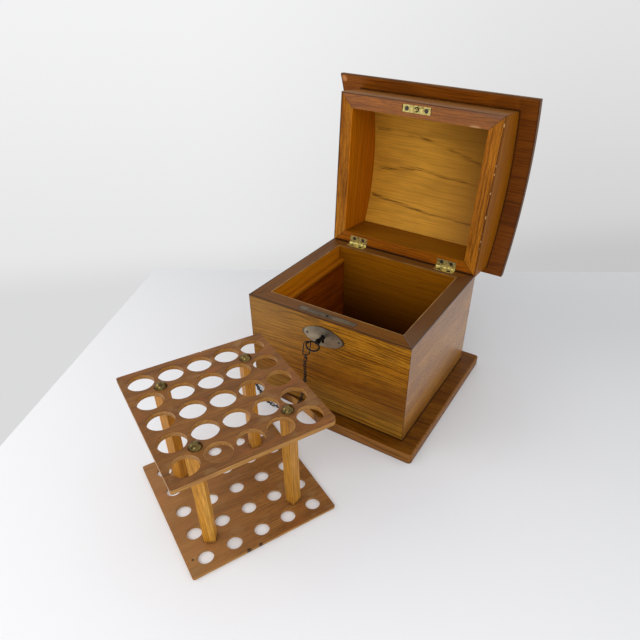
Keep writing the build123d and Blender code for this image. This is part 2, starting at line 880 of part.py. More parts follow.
write("base_board", base_board() - base_screw_blanks())
write("base_screws", base_screws())
for side in SIDES:
    write(f"{side}_wall", body_wall(side))
    write(f"lid_{side}_wall", lid_wall(side))
write("side_liner", side_liner())
write("lid_top_board", lid_top_board())
for name, x in zip(("left", "right"), hinge_centres()):
    write(f"{name}_hinge_body_leaf", hinge_leaf(x, -1, 0))
    write(f"{name}_hinge_lid_leaf", opened(hinge_leaf(x, 1, 1)))
write("hinge_pins", hinge_pins())
write("body_hinge_screws", body_hinge_screws())
write("lid_hinge_screws", lid_hinge_screws())
write("lock_selvedge", lock_selvedge())
write("lock_case", lock_case())
write("lock_bolt", lock_bolt())
write("strike_plate", strike_plate())
write("strike_screws", strike_screws())
write("escutcheon", escutcheon())
write("escutcheon_pins", escutcheon_pins())
write("key", key())
write("key_link", key_link())
write("key_chain_hanging", key_chain(False))
write("key_chain_lying", key_chain(True))
write("rack_upper_plate", rack_upper_plate())
write("rack_lower_plate", rack_lower_plate())
for name in post_places():
    write(f"rack_post_{name}", rack_post(name))
write("rack_dome_nails", rack_dome_nails())
write("rack_foot_screws", rack_foot_screws())
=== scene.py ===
from math import cos, radians, sin

import bpy
from mathutils import Matrix, Vector


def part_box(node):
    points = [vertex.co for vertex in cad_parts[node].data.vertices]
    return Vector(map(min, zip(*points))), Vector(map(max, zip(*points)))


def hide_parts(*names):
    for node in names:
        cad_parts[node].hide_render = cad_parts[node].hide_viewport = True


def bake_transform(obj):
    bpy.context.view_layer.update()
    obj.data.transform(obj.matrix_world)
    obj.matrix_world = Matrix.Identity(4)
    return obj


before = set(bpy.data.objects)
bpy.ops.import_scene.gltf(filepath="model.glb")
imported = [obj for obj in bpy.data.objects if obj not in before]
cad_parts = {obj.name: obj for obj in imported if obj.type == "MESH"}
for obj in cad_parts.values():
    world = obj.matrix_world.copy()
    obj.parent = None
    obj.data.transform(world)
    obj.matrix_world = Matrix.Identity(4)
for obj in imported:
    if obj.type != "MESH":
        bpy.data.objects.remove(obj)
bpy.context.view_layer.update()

# Camera
# The box is seen from above its right front corner, from a hand-held camera that is turned a
# little about its own line of sight.

view_turn = radians(28.11)
view_drop = radians(36.06)
view_roll = radians(2.29)
view_place = Vector((0.2566, -0.4895, 0.4386))
picture_side = 640
focal_length_in_pixels = 537.6
optical_centre = (360.5, 353.4)
sensor_width = 36.0

towards_camera = Vector((
    sin(view_turn) * cos(view_drop),
    -cos(view_turn) * cos(view_drop),
    sin(view_drop),
))
level_right = Vector((cos(view_turn), sin(view_turn), 0.0))
level_up = towards_camera.cross(level_right)
camera_right = level_right * cos(view_roll) + level_up * sin(view_roll)
camera_up = level_up * cos(view_roll) - level_right * sin(view_roll)

camera_data = bpy.data.cameras.new("camera")
camera_data.sensor_width = sensor_width
camera_data.lens = focal_length_in_pixels / picture_side * sensor_width
camera_data.shift_x = (picture_side / 2 - optical_centre[0]) / picture_side
camera_data.shift_y = (optical_centre[1] - picture_side / 2) / picture_side
camera_data.clip_start = 0.01
camera = bpy.data.objects.new("camera", camera_data)
turned = Matrix((camera_right, camera_up, towards_camera)).transposed().to_4x4()
camera.matrix_world = Matrix.Translation(view_place) @ turned
bpy.context.collection.objects.link(camera)
bpy.context.scene.camera = camera
bpy.context.scene.view_settings.view_transform = "Standard"


# Table and light
# A white table stands before a white wall. Daylight comes from large windows on the left and
# in front, and it falls off towards the right. That fall-off is painted shade: the table darkens
# towards the back, and the glowing wall darkens to the right, lower down and at its foot.

class Field:
    """A value that varies over a surface. Arithmetic on it adds Math nodes."""

    def __init__(self, finish, socket):
        self.finish = finish
        self.socket = socket

    def maths(self, operation, first, second=0.0):
        return self.finish.node("ShaderNodeMath", {"operation": operation}, {0: first, 1: second})

    def __add__(self, other):
        return self.maths("ADD", self, other)

    def __radd__(self, other):
        return self.maths("ADD", other, self)

    def __sub__(self, other):
        return self.maths("SUBTRACT", self, other)

    def __rsub__(self, other):
        return self.maths("SUBTRACT", other, self)

    def __mul__(self, other):
        return self.maths("MULTIPLY", self, other)

    def __rmul__(self, other):
        return self.maths("MULTIPLY", other, self)

    def __truediv__(self, other):
        return self.maths("DIVIDE", self, other)

    def __rtruediv__(self, other):
        return self.maths("DIVIDE", other, self)

    def smallest(self, other):
        return self.maths("MINIMUM", self, other)

    def largest(self, other):
        return self.maths("MAXIMUM", self, other)

    def size(self):
        return self.maths("ABSOLUTE", self)

    def fraction(self):
        """What is left of the value above the whole number below it."""
        return self.maths("FRACT", self)

    def rise(self, low, high):
        """0 below low, 1 above high, and smooth between them."""
        settings = {"interpolation_type": "SMOOTHSTEP"}
        inputs = {"Value": self, "From Min": low, "From Max": high}
        return self.finish.node("ShaderNodeMapRange", settings, inputs)

    def line(self, width):
        """1 where the value is 0, and 0 from half that width on."""
        return 1.0 - self.size().rise(width * 0.15, width * 0.5)


def rgb(red, green, blue):
    """A colour picked on a screen, 0 to 255, as the linear colour that a shader takes."""
    linear = []
    for part in (red, green, blue):
        share = part / 255
        linear.append(share / 12.92 if share <= 0.04045 else ((share + 0.055) / 1.055) ** 2.4)
    return (*linear, 1.0)


class Finish:
    """A material and the nodes that make it."""

    def __init__(self, name):
        self.material = bpy.data.materials.new(name)
        self.material.use_nodes = True
        self.tree = self.material.node_tree
        self.shader = self.tree.nodes["Principled BSDF"]
        self.place = self.node("ShaderNodeTexCoord", output="Object")

    def node(self, kind, settings=None, inputs=None, output=0):
        made = self.tree.nodes.new(kind)
        for name, value in (settings or {}).items():
            setattr(made, name, value)
        for name, value in (inputs or {}).items():
            self.feed(made.inputs[name], value)
        return Field(self, made.outputs[output])

    def feed(self, socket, value):
        if isinstance(value, Field):
            self.tree.links.new(value.socket, socket)
        else:
            socket.default_value = value

    def set(self, **values):
        """Gives the shader's sockets their values: coat_weight is its Coat Weight."""
        for name, value in values.items():
            socket = name.replace("_", " ").title().replace("Ior", "IOR")
            self.feed(self.shader.inputs[socket], value)

    def axes(self, vector):
        """The three coordinates of a place in metres, each in millimetres."""
        inputs = {0: vector}
        parts = [self.node("ShaderNodeSeparateXYZ", None, inputs, output=axis) for axis in "XYZ"]
        return [part * 1000.0 for part in parts]

    def vector(self, x, y, z):
        return self.node("ShaderNodeCombineXYZ", None, {"X": x, "Y": y, "Z": z})

    def distance(self, vector, point):
        settings = {"operation": "DISTANCE"}
        return self.node("ShaderNodeVectorMath", settings, {0: vector, 1: point}, output="Value")

    def noise(self, vector, scale=1.0, detail=2.0, roughness=0.5):
        inputs = {"Vector": vector, "Scale": scale, "Detail": detail, "Roughness": roughness}
        return self.node("ShaderNodeTexNoise", None, inputs)

    def mix(self, share, colour, other, way="MIX"):
        settings = {"data_type": "RGBA", "blend_type": way}
        return self.node("ShaderNodeMix", settings, {0: share, 6: colour, 7: other}, output=2)

    def cover(self, share, colour):
        """Lays another colour over the finish where share is 1."""
        self.colour = self.mix(share, self.colour, colour)

    def bump(self, height, depth):
        """Relief of that depth in millimetres where height goes from 0 to 1."""
        inputs = {"Strength": 1.0, "Distance": depth / 1000, "Height": height}
        self.set(normal=self.node("ShaderNodeBump", None, inputs))


table_near = rgb(243, 243, 244)
table_far_painted_shade = rgb(208, 209, 210)
table_shade_fade = (-450.0, 420.0)
table_corner = Vector((-0.448, 0.068, 0.0))
table_back_way = Vector((0.8451, 0.5346, 0.0))
table_side_way = Vector((0.4092, -0.9125, 0.0))
table_reach = 3.0


def flat_board(name, corners, finish):
    """One flat face of the room, which isn't part of the object."""
    mesh = bpy.data.meshes.new(name)
    mesh.from_pydata(corners, [], [tuple(range(len(corners)))])
    board = bpy.data.objects.new(name, mesh)
    bpy.context.collection.objects.link(board)
    board.data.materials.append(finish.material)


table_finish = Finish("table_white")
x, y, z = table_finish.axes(table_finish.place)
# Painted shade: the table's tone darkens from the near tone towards the back.
table_tone = table_finish.mix(y.rise(*table_shade_fade), table_near, table_far_painted_shade)
table_finish.set(base_color=table_tone, roughness=0.6)
flat_board("table_top", [
    table_corner,
    table_corner + table_side_way * table_reach,
    table_corner + (table_side_way + table_back_way) * table_reach,
    table_corner + table_back_way * table_reach,
], table_finish)

wall_gap = 3.0
wall_reach = 7.0
wall_low = Vector((0.0, 0.0, -6.0))
wall_high = Vector((0.0, 0.0, 4.0))
wall_left_tone = rgb(244, 244, 245)
wall_right_painted_shade = rgb(228, 228, 228)
wall_low_painted_shade = rgb(204, 204, 204)
wall_foot_painted_shade = rgb(120, 120, 120)
table_line_height = -1400.0
table_line_slope = 0.11
wall_foot_shade_fade = 400.0

wall_finish = Finish("wall_glow_painted_shade")
x, y, z = wall_finish.axes(wall_finish.place)
right_end = x.rise(-2600.0, -100.0)
low_part = 1.0 - z.rise(-1700.0, 600.0)
above_table = z - x * table_line_slope - table_line_height
# The wall glows by emission in place of the light on it. Its tone is painted shade: darker to the
# right, lower down and at its foot by the table.
wall_finish.colour = wall_finish.mix(right_end, wall_left_tone, wall_right_painted_shade)
wall_finish.cover(low_part * (right_end * 0.55 + 0.35), wall_low_painted_shade)
wall_finish.cover((1.0 - above_table.rise(0.0, wall_foot_shade_fade)) * 0.15, wall_foot_painted_shade)
wall_finish.set(base_color=rgb(0, 0, 0), roughness=1.0, specular_ior_level=0.0)
wall_finish.set(emission_color=wall_finish.colour, emission_strength=1.0)
wall_foot = table_corner - table_side_way * wall_gap
wall_left = wall_foot - table_back_way * wall_reach
wall_right = wall_foot + table_back_way * wall_reach
flat_board("room_wall", [
    wall_left + wall_low,
    wall_right + wall_low,
    wall_right + wall_high,
    wall_left + wall_high,
], wall_finish)

world = bpy.data.worlds.new("room")
world.use_nodes = True
bpy.context.scene.world = world
room = world.node_tree.nodes["Background"]
room.inputs["Color"].default_value = rgb(236, 237, 240)
room.inputs["Strength"].default_value = 1.04

daylight = (1.0, 0.985, 0.96)
lit_place = Vector((0.0, 0.0, 0.1))


def window(name, place, width, height, power):
    light = bpy.data.lights.new(name, "AREA")
    light.shape = "RECTANGLE"
    light.size = width
    light.size_y = height
    light.energy = power
    light.color = daylight
    lamp = bpy.data.objects.new(name, light)
    lamp.location = place
    lamp.rotation_euler = (lit_place - Vector(place)).to_track_quat("-Z", "Y").to_euler()
    bpy.context.collection.objects.link(lamp)


window("left_window", (-1.3, -0.9, 1.3), 1.1, 0.8, 6.2)
window("front_window", (0.5, -1.7, 1.5), 0.9, 0.7, 5.6)


# Base board
# A planed hardwood board under the whole box, wider than the walls on every side, with its top
# edge rounded by hand. It is stained and varnished like the box, and its front left corner is
# split off, which bares the pale wood.

def wood(name, grain, tones, seed, wander=3.0, streaks=0.6, rings=0.5, ring_width=6.0, turned=None):
    """Stained wood in a light, a middle and a dark tone, with its grain along one axis.

    For a piece that stands turned, turned is the rotation and the shift to its own axes.
    """
    finish = Finish(name)
    light, middle, dark = tones
    place = finish.place
    if turned:
        inputs = {"Vector": place, "Rotation": turned[0], "Location": turned[1]}
        place = finish.node("ShaderNodeMapping", None, inputs)
    finish.xyz = finish.axes(place)
    x, y, z = finish.xyz
    along, across, deep = {
        "x": (x, y + z * 0.3, z + y * 0.2),
        "y": (y, x + z * 0.3, z),
        "z": (z, x, y),
    }[grain]
    along = along + 311.0 * seed
    across = across + 67.0 * seed
    slow = finish.noise(finish.vector(along / 95.0, across / 30.0, deep / 30.0), detail=1.0)
    drift = (slow - 0.5) * (2 * wander)
    bent = across + drift
    sunk = deep + drift

    def grained(length, width, detail=2.0, roughness=0.5):
        """Noise in patches of that length along the grain and that width across it."""
        stretched = finish.vector(along / length, bent / width, sunk / width)
        return finish.noise(stretched, detail=detail, roughness=roughness)

    band = grained(170.0, 13.0)
    long_streak = grained(130.0, 4.5, 3.0, 0.6)
    streak = grained(70.0, 1.7, 4.0, 0.66)
    fibre = grained(22.0, 0.7)
    pore = grained(5.0, 0.38, 0.0).rise(0.60, 0.70)
    blotch = finish.noise(finish.vector(along / 60.0, across / 35.0, deep / 35.0))
    ring = ((bent + sunk) / ring_width + slow * 4.0 + band).fraction()
    late_wood = ring.rise(0.62, 0.95) * (1.0 - ring.rise(0.95, 1.0))
    late_wood = late_wood * blotch.rise(0.3, 0.55) * rings

    finish.colour = finish.mix(band.rise(0.36, 0.66), light, middle)
    finish.cover(long_streak.rise(0.54, 0.64) * streaks * 0.45, dark)
    finish.cover(streak.rise(0.51, 0.60) * streaks, dark)
    finish.cover(late_wood, dark)
    finish.cover(blotch.rise(0.45, 0.75) * 0.3, dark)
    shade = finish.mix(fibre.rise(0.25, 0.75), rgb(190, 188, 184), rgb(255, 255, 255))
    finish.colour = finish.mix(1.0, finish.colour, shade, "MULTIPLY")
    finish.cover(pore * 0.5, dark)
    finish.grain_height = fibre * 0.5 + streak * 0.5 - pore * 0.8 - late_wood * 0.5
    finish.streak = streak
    finish.blotch = blotch
    finish.fibre = fibre
    return finish


def varnish(finish, roughness=0.42, coat=0.02, gloss=0.08):
    """Closes a wood finish: satin varnish that sinks a little into the grain."""
    uneven = finish.streak * 0.16 + (roughness - 0.08)
    finish.set(base_color=finish.colour, roughness=uneven, specular_ior_level=gloss)
    finish.set(coat_weight=coat, coat_roughness=0.25)
    finish.bump(finish.grain_height, 0.06)


def dress(node, finish):
    """Gives a CAD node its finish."""
    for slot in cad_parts[node].material_slots:
        slot.link = "OBJECT"
        slot.material = finish.material


base_width_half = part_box("base_board")[1][0] * 1000
base_depth_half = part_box("base_board")[1][1] * 1000
base_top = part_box("base_board")[1][2] * 1000
wall_outer_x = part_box("right_wall")[1][0] * 1000
wall_outer_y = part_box("back_wall")[1][1] * 1000
break_end = (-14.0, -4.0)
break_depth = (-93.5, -91.5)
base_tones = (rgb(134, 82, 14), rgb(112, 64, 7), rgb(74, 38, 4))
base_worn_tone = rgb(150, 100, 48)
base_foot_painted_shade = rgb(70, 38, 10)
bare_wood = rgb(186, 132, 66)
base_wall_foot_painted_shadow = rgb(38, 20, 6)

base_finish = wood("base_wood", "x", base_tones, 1.0)
x, y, z = base_finish.xyz
from_rim = (base_width_half - x.size()).smallest(base_depth_half - y.size())
worn = (1.0 - from_rim.rise(0.6, 3.0)) * base_finish.streak.rise(0.35, 0.6)
base_finish.cover(worn * 0.8, base_worn_tone)
# Painted shade along the board's foot, where it stands on the table.
base_finish.cover((1.0 - z.rise(0.4, 2.0)) * 0.7, base_foot_painted_shade)
split_off = (1.0 - x.rise(*break_end)) * (1.0 - y.rise(*break_depth))
below_top = 1.0 - z.rise(base_top - 1.2, base_top - 0.3)
base_finish.cover(split_off * below_top * 0.8, bare_wood)
# Painted shadow on the board's top along the foot of the walls.
from_walls = (x.size() - wall_outer_x).largest(y.size() - wall_outer_y).size()
on_top = z.rise(base_top - 1.0, base_top - 0.2)
base_finish.cover((1.0 - from_walls.rise(0.4, 2.2)) * on_top * 0.8, base_wall_foot_painted_shadow)
varnish(base_finish)
dress("base_board", base_finish)


# Body walls
# Four boards, mitred at the corners, glued and pinned. The outside is a golden brown with dark
# lines in its grain, and the rim, which hands have worn, is greyer and darker.

wall_thick = 18.0
rim_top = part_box("front_wall")[1][2] * 1000
keyhole = (-2.0, 0.0, 111.0)
front_tones = (rgb(198, 132, 28), rgb(168, 102, 8), rgb(70, 36, 2))
right_tones = (rgb(206, 140, 40), rgb(180, 116, 22), rgb(104, 60, 10))
front_painted_sheen_tone = rgb(158, 118, 66)
front_deep_tone = rgb(108, 60, 4)
front_low_tone = rgb(158, 120, 52)
front_line_tone = rgb(70, 38, 8)
keyhole_painted_shade = rgb(14, 9, 6)
corner_tone = rgb(74, 42, 16)
inside_low_painted_shade_tones = (rgb(66, 28, 2), rgb(44, 18, 1))
inside_high_tones = (rgb(150, 90, 6), rgb(104, 58, 4))
inside_left_tones = (rgb(204, 124, 14), rgb(140, 78, 8))
rim_tone = rgb(108, 66, 22)
rim_right_tone = rgb(84, 46, 9)
rim_dark = rgb(60, 34, 10)
rim_blotch_tone = rgb(92, 64, 34)
rim_edge_tone = rgb(58, 34, 18)
below_rim_tone = rgb(70, 42, 24)
dark_joint_and_painted_shade = rgb(46, 24, 8)
hinge_gap_painted_shadow = rgb(24, 12, 5)
worn_tan = rgb(178, 138, 84)


def soften(node, width, segments=2):
    """Rounds the sharp edges of a CAD node by that many millimetres."""
    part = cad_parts[node]
    weld = part.modifiers.new("weld", "WELD")
    weld.merge_threshold = 0.000005
    bevel = part.modifiers.new("rounded", "BEVEL")
    bevel.width = width / 1000
    bevel.segments = segments
    bevel.limit_method = "ANGLE"
    bevel.angle_limit = radians(40)


def mitred_frame(finish):
    """How deep a point lies inside the outer faces, and the dark line of the mitre joints."""
    x, y, z = finish.xyz
    depth_x = wall_outer_x - x.size()
    depth_y = wall_outer_y - y.size()
    return depth_x.smallest(depth_y), (depth_x - depth_y).line(1.3)


def front_outside(finish):
    """The front wall has a painted sheen at its upper left, is deeper in the middle and lined lower
    down.
    """
    x, y, z = finish.xyz
    # Painted sheen at the upper left.
    upper_left = (1.0 - x.rise(-90.0, 40.0)) * z.rise(45.0, 120.0)
    finish.cover(upper_left * 0.55, front_painted_sheen_tone)
    middle_right = x.rise(-60.0, 30.0) * z.rise(25.0, 50.0) * (1.0 - z.rise(75.0, 105.0))
    finish.cover(middle_right * 0.55, front_deep_tone)
    finish.cover((1.0 - z.rise(20.0, 60.0)) * 0.35, front_low_tone)
    grain = finish.vector(x / 150.0, y / 8.0, z / 2.4)
    lines = finish.noise(grain, detail=2.0, roughness=0.6).rise(0.53, 0.60)
    finish.cover(lines * (1.0 - z.rise(50.0, 95.0)) * 0.55, front_line_tone)
    # A dark disc on the wood behind the keyhole: painted shade for the dark inside the keyhole.
    from_keyhole = finish.distance(finish.vector(x, 0.0, z), keyhole)
    finish.cover(1.0 - from_keyhole.rise(6.0, 7.5), keyhole_painted_shade)


def right_outside(finish, dark):
    """The right wall has short flecks in place of long lines."""
    x, y, z = finish.xyz
    fleck = finish.noise(finish.vector(x, y / 3.4, z / 1.1), detail=3.0, roughness=0.7)
    finish.cover(fleck.rise(0.50, 0.60) * 0.75, dark)
    finish.grain_height = finish.grain_height * 0.5 + fleck


def body_wall(side, grain, tones, seed, rings=0.85, streaks=0.6, coat=0.02, gloss=0.08):
    name = f"{side}_wall_wood"
    finish = wood(name, grain, tones, seed, rings=rings, streaks=streaks, ring_width=4.5)
    x, y, z = finish.xyz
    streak = finish.streak.rise(0.4, 0.7)
    depth, mitre = mitred_frame(finish)
    if side == "right":
        right_outside(finish, tones[2])
    if side == "front":
        front_outside(finish)
    from_corner = (wall_outer_x - x.size()).largest(wall_outer_y - y.size())
    at_corner = (1.0 - from_corner.rise(0.3, 1.4)) * finish.streak.rise(0.35, 0.55)
    finish.cover(at_corner * 0.6, corner_tone)
    # Painted shade along the wall's foot, where it stands on the base board.
    finish.cover((1.0 - z.rise(base_top + 0.3, base_top + 2.0)) * 0.8, dark_joint_and_painted_shade)

    # The inside faces are painted shade that deepens towards the floor of the box.
    inside = depth.rise(1.0, 2.0)
    low_tone = finish.mix(streak * 0.7, *inside_low_painted_shade_tones)
    if side == "left":
        high_tone = finish.mix(streak * 0.6, *inside_left_tones)
    else:
        high_tone = finish.mix(streak * 0.7, *inside_high_tones)
    finish.cover(inside, finish.mix(z.rise(20.0, rim_top), low_tone, high_tone))

    outer_line = 1.0 - depth.rise(0.5, 1.7)
    rim_line_and_gap_shadow_tone = rim_edge_tone
    # On the back wall the line along the rim's outer edge is widened into painted shadow of the gap
    # at the lid's hinge.
    if side == "back":
        outer_line = 1.0 - depth.rise(4.2, 5.4)
        rim_line_and_gap_shadow_tone = hinge_gap_painted_shadow
    inner_line = (depth - (wall_thick - 0.4)).line(1.6) * finish.fibre.rise(0.3, 0.6)
    rim = finish.mix(streak * 0.6, rim_right_tone if side == "right" else rim_tone, rim_dark)
    rim = finish.mix(finish.blotch.rise(0.5, 0.7) * 0.4, rim, rim_blotch_tone)
    rim = finish.mix(mitre * 0.85, rim, dark_joint_and_painted_shade)
    rim = finish.mix(outer_line * 0.85, rim, rim_line_and_gap_shadow_tone)
    rim = finish.mix(inner_line * 0.7, rim, worn_tan)
    finish.cover(z.rise(rim_top - 1.0, rim_top - 0.3), rim)
    finish.cover((z - (rim_top - 1.2)).line(1.4) * (1.0 - inside) * 0.8, below_rim_tone)
    varnish(finish, coat=coat, gloss=gloss)
    dress(f"{side}_wall", finish)
    soften(f"{side}_wall", 0.5)


body_wall("front", "x", front_tones, 2.0)
body_wall("back", "x", front_tones, 3.0)
body_wall("left", "y", front_tones, 4.0)
body_wall("right", "y", right_tones, 5.0, rings=0.2, streaks=0.25, coat=0.55, gloss=0.6)


# Side liner
# A thin reddish board that is glued to the left wall inside the box and keeps the rack in place.
# Its upper edge is cut back to a narrow step.

liner_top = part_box("side_liner")[1][2] * 1000
liner_step = 4.6
liner_tones = (rgb(172, 84, 10), rgb(144, 62, 6), rgb(100, 38, 4))
liner_edge_tone = rgb(160, 92, 10)
liner_step_painted_shade = rgb(60, 26, 4)
liner_low_painted_shade = rgb(60, 22, 2)

liner_finish = wood("liner_wood", "y", liner_tones, 6.0)
x, y, z = liner_finish.xyz
liner_finish.cover(z.rise(liner_top - 5.0, liner_top - 3.0), liner_edge_tone)
# Painted shade in the crease of the step, and towards the bottom of the box.
liner_finish.cover((z - (liner_top - liner_step)).line(1.4) * 0.7, liner_step_painted_shade)
liner_finish.cover((1.0 - z.rise(15.0, 100.0)) * 0.2, liner_low_painted_shade)
varnish(liner_finish)
dress("side_liner", liner_finish)
soften("side_liner", 0.6)


# Lid walls
# Four boards like the walls of the body, mitred too, with their upper edges cut to the curve of
# the top. Their varnish is chipped along the right side and worn through on the front rail.

lid_open = radians(95.0)
lid_pin = Vector((0.0, 0.0886, 0.13615))
lid_closed = ((lid_open, 0, 0), lid_pin - Matrix.Rotation(lid_open, 3, "X") @ lid_pin)
lid_gap = 0.3
lid_rim = rim_top + lid_gap
lid_wall_thick = 16.5
worn_stretch = 2.5
worn_place = (68.0, -74.4 * worn_stretch, lid_rim)
stile_tones = (rgb(196, 120, 26), rgb(172, 94, 12))
left_stile_tones = (rgb(204, 132, 34), rgb(182, 108, 20))
rail_tones = (rgb(168, 98, 28), rgb(150, 82, 20))
back_rail_tones = (rgb(176, 96, 6), rgb(152, 76, 4))
lid_dark = rgb(98, 50, 8)
lid_outside_dark = rgb(84, 50, 18)
lid_mitre_tone = rgb(74, 40, 14)
lid_edge_tone = rgb(58, 32, 16)
lid_rim_line_tone = rgb(50, 27, 12)
chipped_tone = rgb(206, 168, 112)
worn_rail_tone = rgb(196, 146, 92)
dull_rail_tone = rgb(112, 78, 56)


def lid_wall(side, grain, seed, rim_tones, outside_tone, inside_tones, coat=0.02, gloss=0.08):
    """A wall of the lid. Its grain and wear are laid out on the closed lid."""
    name = f"lid_{side}_wood"
    tones = (*rim_tones, lid_dark)
    streaks = 0.3 if grain == "x" else 0.55
    finish = wood(name, grain, tones, seed, streaks=streaks, rings=0.3, turned=lid_closed)
    x, y, z = finish.xyz
    streak = finish.streak.rise(0.4, 0.7)
    depth, mitre = mitred_frame(finish)
    outside = 1.0 - depth.rise(0.3, 0.9)
    finish.cover(outside, finish.mix(streak * 0.7, outside_tone, lid_outside_dark))
    inside = depth.rise(lid_wall_thick - 1.0, lid_wall_thick - 0.4)
    finish.cover(inside, finish.mix(streak * 0.8, *inside_tones))
    rim = 1.0 - z.rise(lid_rim + 0.2, lid_rim + 0.9)
    finish.cover(rim * mitre * 0.7, lid_mitre_tone)
    outer_edge = (z - (lid_rim + 0.9)).line(1.8) * (1.0 - depth.rise(0.5, 1.5))
    finish.cover(outer_edge * 0.85, lid_edge_tone)
    finish.cover((depth - 1.0).line(1.6) * rim * 0.85, lid_rim_line_tone)
    # Painted shadow of the hinge gap along the back rail's rim.
    if side == "back":
        finish.cover((1.0 - depth.rise(3.2, 4.4)) * rim * 0.85, hinge_gap_painted_shadow)
    if side == "right":
        chips = finish.noise(finish.vector(x / 7.0, y / 7.0, z / 2.0), detail=3.0).rise(0.57, 0.62)
        finish.cover((depth - 0.9).line(1.3) * rim * chips * 0.85, chipped_tone)
    if side == "front":
        from_worn = finish.distance(finish.vector(x, y * worn_stretch, z), worn_place)
        finish.cover((1.0 - from_worn.rise(3.0, 9.0)) * rim * 0.6, worn_rail_tone)
        dull = x.rise(40.0, wall_outer_x - 1.0) * (depth - 2.5).line(7.0) * rim
        finish.cover(dull * 0.5, dull_rail_tone)
    varnish(finish, coat=coat, gloss=gloss)
    dress(f"lid_{side}_wall", finish)
    soften(f"lid_{side}_wall", 0.5)


shaded_tones = (rgb(150, 90, 14), rgb(104, 58, 8))
lid_wall("front", "x", 7.0, rail_tones, rgb(140, 90, 32), shaded_tones, coat=0.22, gloss=0.28)
lid_wall("back", "x", 8.0, back_rail_tones, rgb(136, 84, 16), (rgb(136, 82, 6), rgb(98, 56, 4)))
lid_wall("left", "y", 9.0, left_stile_tones, rgb(150, 92, 16), (rgb(200, 116, 6), rgb(146, 78, 4)))
lid_wall("right", "y", 10.0, stile_tones, rgb(154, 90, 5), shaded_tones)


# Lid top board
# A board bent over the arch of the lid walls and glued down, standing out past them on all
# sides. Its underside is the lid's pale ceiling, with three dark streaks that cross it.

arch_radius = 220.0
arch_rise = 48.0
arch_middle = lid_rim + arch_rise - (arch_radius ** 2 - wall_outer_y ** 2) ** 0.5
ceiling_half_width = wall_outer_x - lid_wall_thick + 0.5
top_middle_x = -2.5
top_half_width = 124.0
top_front = -106.0
seam_place = 12.0
chip_place = (-122.0, -101.0, 55.0)
ceiling_streaks = [
    ((-79.5, -46.8), (-24.0, -45.3), (21.3, -35.6), (84.0, -19.0)),
    ((-81.4, 4.5), (-20.4, -4.9), (12.3, -2.0), (84.0, 2.0)),
    ((-80.6, 38.0), (-36.8, 43.3), (1.0, 47.3), (84.0, 50.0)),
]
ceiling_streak_width = 6.0
ceiling_streak_shares = (0.7, 0.9, 0.9)
top_tones = (rgb(190, 132, 50), rgb(160, 102, 30), rgb(100, 56, 14))
ceiling_left_tone = rgb(224, 162, 54)
ceiling_right_tone = rgb(164, 112, 34)
ceiling_grain_tone = rgb(136, 88, 22)
ceiling_blotch_tone = rgb(150, 100, 28)
ceiling_streak_tone = rgb(88, 52, 12)
overhang_tones = (rgb(146, 80, 16), rgb(88, 42, 4))
overhang_blotch_tone = rgb(104, 54, 12)
overhang_right_tone = rgb(66, 28, 4)
lid_wall_junction_painted_shade = rgb(40, 20, 8)
seam_dark = rgb(36, 18, 6)
top_side_edge_tone = rgb(66, 36, 14)
top_front_edge_tone = rgb(58, 34, 18)
chip_tone = rgb(206, 138, 84)

top_finish = wood("lid_top_wood", "x", top_tones, 11.0, turned=lid_closed)
x, y, z = top_finish.xyz
ceiling = top_finish.mix(x.rise(-20.0, 75.0), ceiling_left_tone, ceiling_right_tone)
ceiling = top_finish.mix(top_finish.streak.rise(0.4, 0.7) * 0.45, ceiling, ceiling_grain_tone)
ceiling = top_finish.mix(top_finish.blotch.rise(0.4, 0.7) * 0.35, ceiling, ceiling_blotch_tone)
wavy = top_finish.noise(top_finish.vector(x / 22.0, y / 5.0, z), detail=3.0)
strands = top_finish.noise(top_finish.vector(x / 34.0, y / 0.9, z / 9.0), detail=3.0, roughness=0.6)
broken_up = top_finish.blotch.rise(0.25, 0.5) * strands.rise(0.42, 0.6)
for points, share in zip(ceiling_streaks, ceiling_streak_shares):
    for (x0, y0), (x1, y1) in zip(points, points[1:]):
        slope = (y1 - y0) / (x1 - x0)
        beside = y - (x - x0) * slope - y0 + (wavy - 0.5) * 5.0
        there = x.rise(x0 - 0.5, x0 + 0.5) * (1.0 - x.rise(x1 - 0.5, x1 + 0.5))
        dark_streak = beside.line(ceiling_streak_width) * there * broken_up * share
        ceiling = top_finish.mix(dark_streak, ceiling, ceiling_streak_tone)

overhang = top_finish.mix(top_finish.streak.rise(0.42, 0.66) * 0.8, *overhang_tones)
overhang = top_finish.mix(top_finish.blotch.rise(0.5, 0.65) * 0.5, overhang, overhang_blotch_tone)
# Painted shade on the overhang's underside along the lid walls' outer faces.
from_lid_walls = (x.size() - wall_outer_x).largest(y.size() - wall_outer_y).size()
overhang = top_finish.mix((1.0 - from_lid_walls.rise(0.4, 2.6)) * 0.8, overhang, lid_wall_junction_painted_shade)
seam = (y - seam_place).line(1.6) * x.rise(wall_outer_x - 1.0, wall_outer_x + 1.0)
overhang = top_finish.mix(seam * 0.8, overhang, seam_dark)
right_part = x.rise(wall_outer_x - 3.0, wall_outer_x + 1.0)
overhang = top_finish.mix(right_part * 0.4, overhang, overhang_right_tone)

